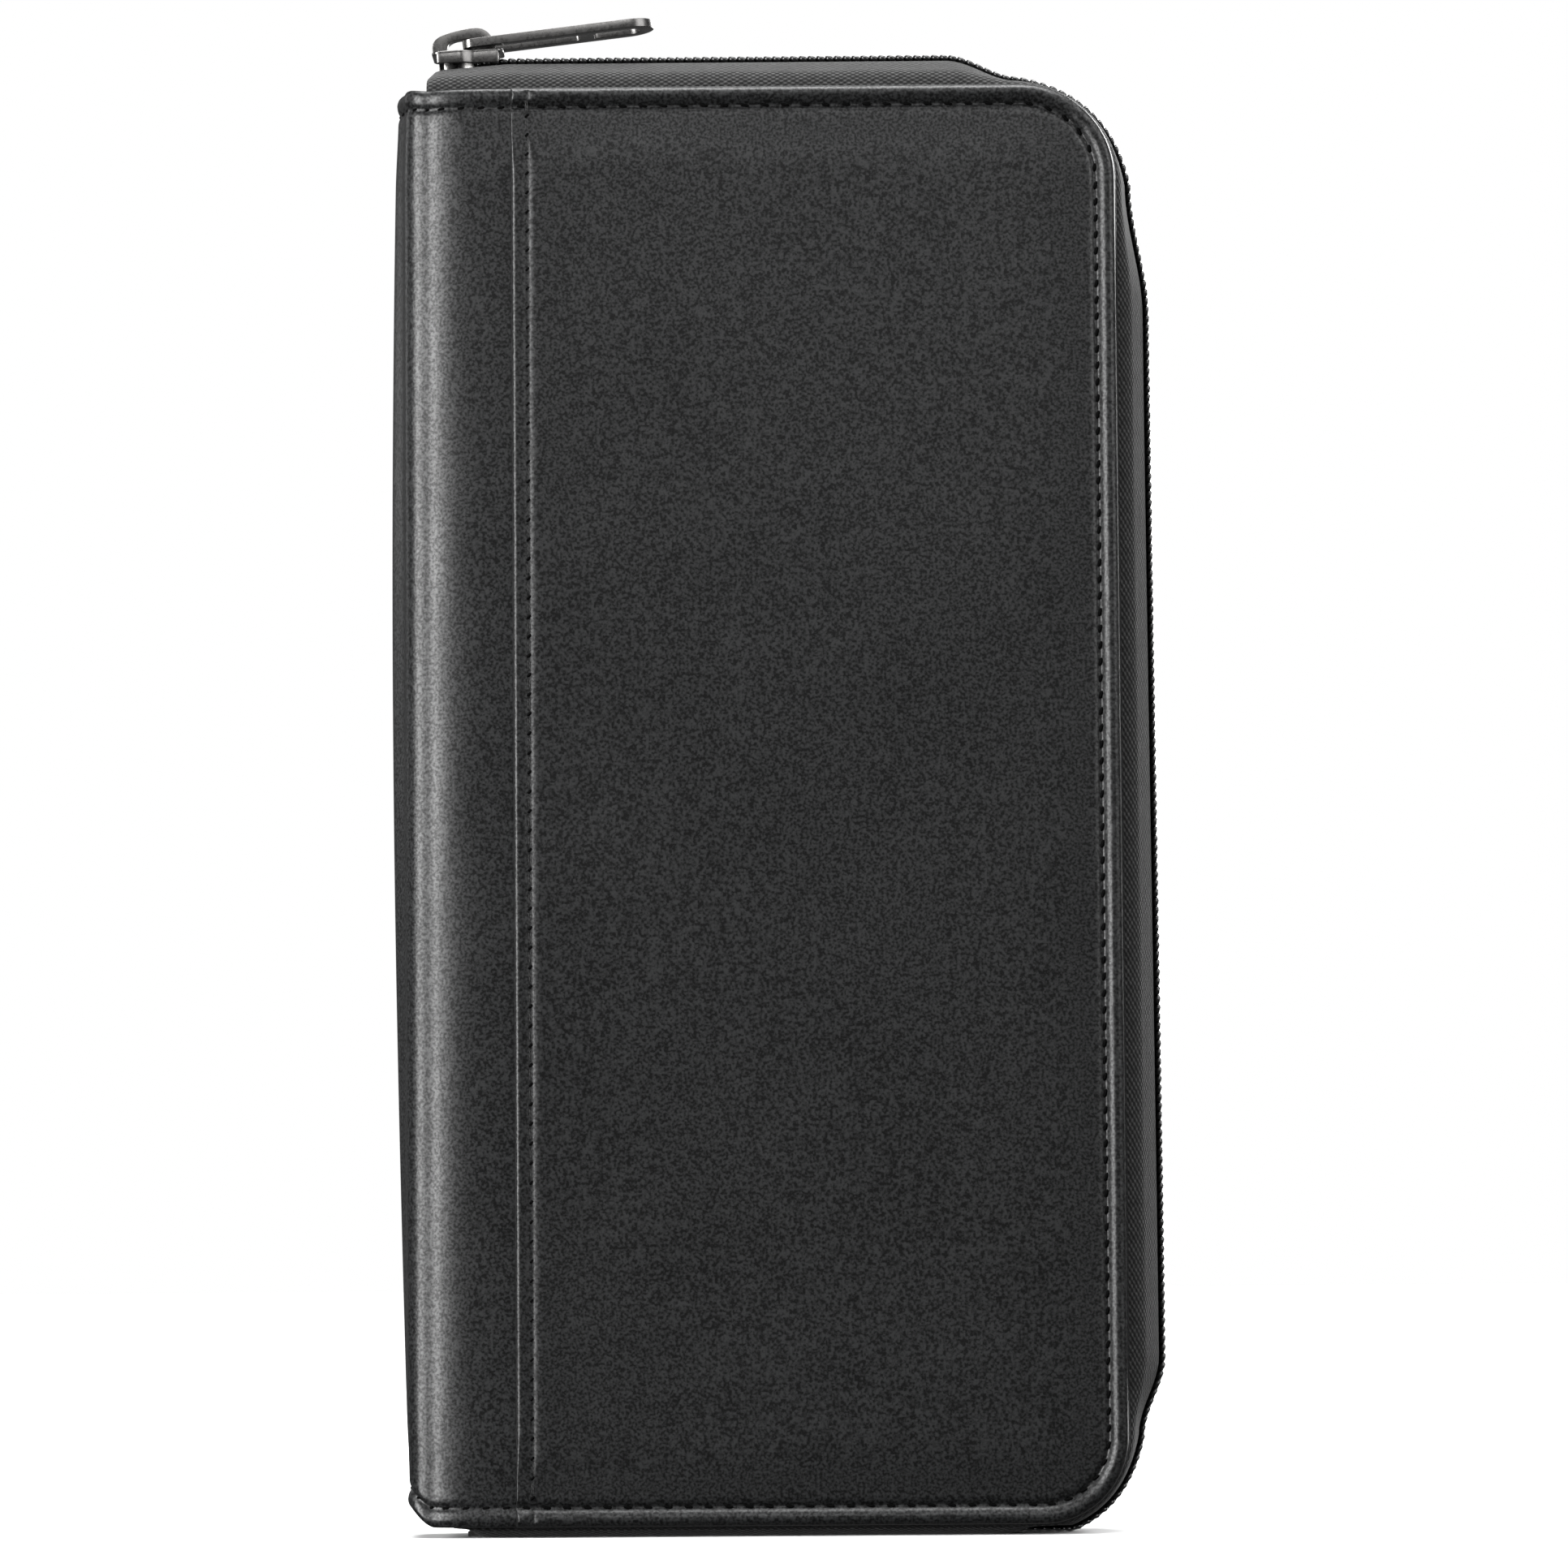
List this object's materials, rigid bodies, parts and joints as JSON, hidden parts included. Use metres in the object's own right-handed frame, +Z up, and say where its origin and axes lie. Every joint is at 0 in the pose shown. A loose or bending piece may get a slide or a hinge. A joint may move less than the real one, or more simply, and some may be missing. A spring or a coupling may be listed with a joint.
{
  "type": "long wallet",
  "caption": "Zip-around long wallet with padded leather covers, a folding spine, a spiral zip with a slider and frame pull, card slots and pockets.",
  "frame": {"origin": "under the middle of the bounding box, on the surface that the wallet stands on", "axes": "+Z up along the long side, front cover faces -Y, spine on -X, zip on +X"},
  "size_m": [0.119, 0.025, 0.2362],
  "materials": {
    "leather": "matte fine grain",
    "lining": "matte woven",
    "board": "matte",
    "zip_tape": "ribbed weave",
    "zip_coil": "glossy nylon",
    "gunmetal": "polished black nickel"
  },
  "bodies": {
    "back_cover": {"back_leather": "leather", "back_board": "board", "back_lining": "lining", "spine_flap_back": "leather", "zip_tape_back": "zip_tape", "zip_coil_back": "zip_coil", "zip_bottom_stop_back": "gunmetal", "bill_pocket": "lining", "passport_pocket": "lining", "ticket_pocket": "lining"},
    "spine": {"spine_leather": "leather", "spine_board": "board", "spine_lining": "lining"},
    "front_cover": {"front_leather": "leather", "front_board": "board", "front_lining": "lining", "spine_flap_front": "leather", "zip_tape_front": "zip_tape", "zip_coil_front": "zip_coil", "zip_bottom_stop_front": "gunmetal", "card_backing": "lining", "card_slot_1": "leather", "card_slot_2": "leather", "card_slot_3": "leather", "card_slot_4": "leather", "card_slot_5": "leather", "card_slot_6": "leather", "card_slot_7": "leather", "card_slot_8": "leather"},
    "slider": {"slider_body": "gunmetal", "slider_bail": "gunmetal"},
    "pull": {"pull_tab": "gunmetal"}
  },
  "joints": [
    {"name": "spine_fold", "type": "hinge", "parent": "back_cover", "child": "spine", "pos_m": [-0.05603, 0.01053, 0.1135], "axis": [0, 0, -1], "range_deg": [0, 90]},
    {"name": "cover_fold", "type": "hinge", "parent": "spine", "child": "front_cover", "pos_m": [-0.05603, -0.01053, 0.1135], "axis": [0, 0, -1], "range_deg": [0, 90]},
    {"name": "slider_travel", "type": "slide", "parent": "back_cover", "child": "slider", "axis": [1, 0, 0], "range_m": [0, 0.065]},
    {"name": "pull_swing", "type": "hinge", "parent": "slider", "child": "pull", "pos_m": [-0.04748, 0, 0.23208], "axis": [0, -1, 0], "range_deg": [0, 165]}
  ],
  "couplings": [
    {"joint": "cover_fold", "follows": "spine_fold", "ratio": 1}
  ]
}
